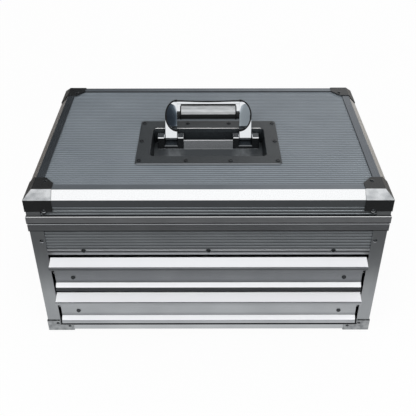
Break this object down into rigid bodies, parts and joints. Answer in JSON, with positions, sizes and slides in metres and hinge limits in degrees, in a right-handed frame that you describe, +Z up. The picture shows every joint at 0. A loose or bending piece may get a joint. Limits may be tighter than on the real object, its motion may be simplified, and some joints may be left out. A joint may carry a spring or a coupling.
{
  "type": "portable tool box with drawers",
  "caption": "Portable tool box with full-width pull-out drawers, a lift-up lid, a fold-flat carrying handle and side latches, in ribbed board and aluminium profiles.",
  "frame": {"origin": "middle of the whole box on the surface it stands on, midway between the pull ledges and the hinge", "axes": "+X to the right, -Y towards the drawer fronts, +Z up"},
  "size_m": [0.467, 0.3222, 0.2758],
  "materials": {
    "ribbed_board": "ribbed satin sheet on board",
    "floor_board": "plywood, black faced",
    "lid_profile": "grey anodised, polished bevel",
    "case_profile": "grey anodised extrusion",
    "bottom_cap": "grey painted sheet",
    "lid_cap": "black painted sheet",
    "dish": "moulded, fine grain",
    "bracket": "black",
    "bridge": "grey textured",
    "handle_chrome": "bright chrome",
    "grip": "gloss black",
    "drawer_front": "satin anodised, bright ledges",
    "drawer_tray": "grey coated sheet",
    "bright_steel": "zinc plated"
  },
  "bodies": {
    "case": {"base_panel": "floor_board", "left_panel": "ribbed_board", "right_panel": "ribbed_board", "rear_panel": "ribbed_board", "front_panel": "ribbed_board", "front_rail": "case_profile", "compartment_floor": "floor_board", "bottom_rail_front": "case_profile", "bottom_rail_rear": "case_profile", "bottom_rail_sides": "case_profile", "post_front_left": "case_profile", "post_front_right": "case_profile", "rear_posts": "case_profile", "bottom_caps": "bottom_cap", "case_band_front": "case_profile", "case_band_rear": "case_profile", "case_band_left": "case_profile", "case_band_right": "case_profile", "case_rivets": "bright_steel", "front_rail_screws": "bright_steel", "drawer_rails": "bright_steel", "lower_hinge_leaf": "bright_steel", "hinge_pin": "bright_steel", "latch_base_left": "bright_steel", "latch_base_right": "bright_steel", "latch_pins": "bright_steel"},
    "lid": {"lid_panel": "ribbed_board", "lid_frame_front": "lid_profile", "lid_frame_rear": "lid_profile", "lid_frame_left": "lid_profile", "lid_frame_right": "lid_profile", "lid_strip_front": "ribbed_board", "lid_strip_rear": "ribbed_board", "lid_strip_sides": "ribbed_board", "lid_band_front": "case_profile", "lid_band_rear": "case_profile", "lid_band_left": "case_profile", "lid_band_right": "case_profile", "lid_corner_angles": "case_profile", "lid_caps": "lid_cap", "lid_rivets": "bright_steel", "upper_hinge_leaf": "bright_steel", "latch_keepers": "bright_steel", "handle_dish": "dish", "dish_screws": "bright_steel", "handle_brackets": "bracket", "handle_bridge": "bridge", "handle_pins": "bright_steel"},
    "handle": {"handle_frame": "handle_chrome", "handle_grip": "grip"},
    "drawer_upper": {"upper_drawer_front": "drawer_front", "upper_drawer_tray": "drawer_tray", "upper_drawer_runners": "bright_steel", "upper_drawer_screws": "bright_steel"},
    "drawer_lower": {"lower_drawer_front": "drawer_front", "lower_drawer_tray": "drawer_tray", "lower_drawer_runners": "bright_steel", "lower_drawer_screws": "bright_steel"},
    "latch_left": {"latch_left": "bright_steel"},
    "latch_right": {"latch_right": "bright_steel"}
  },
  "joints": [
    {"name": "lid_hinge", "type": "hinge", "parent": "case", "child": "lid", "pos_m": [0, 0.15815, 0.19115], "axis": [-1, 0, 0], "range_deg": [0, 100]},
    {"name": "handle_fold", "type": "hinge", "parent": "lid", "child": "handle", "pos_m": [0, 0.00635, 0.227], "axis": [1, 0, 0], "range_deg": [0, 115]},
    {"name": "drawer_upper_slide", "type": "slide", "parent": "case", "child": "drawer_upper", "axis": [0, -1, 0], "range_m": [0, 0.218]},
    {"name": "drawer_lower_slide", "type": "slide", "parent": "case", "child": "drawer_lower", "axis": [0, -1, 0], "range_m": [0, 0.218]},
    {"name": "latch_left_swing", "type": "hinge", "parent": "case", "child": "latch_left", "pos_m": [-0.2295, 0.00435, 0.172], "axis": [0, 1, 0], "range_deg": [0, 180]},
    {"name": "latch_right_swing", "type": "hinge", "parent": "case", "child": "latch_right", "pos_m": [0.2295, 0.00435, 0.172], "axis": [0, -1, 0], "range_deg": [0, 180]}
  ]
}
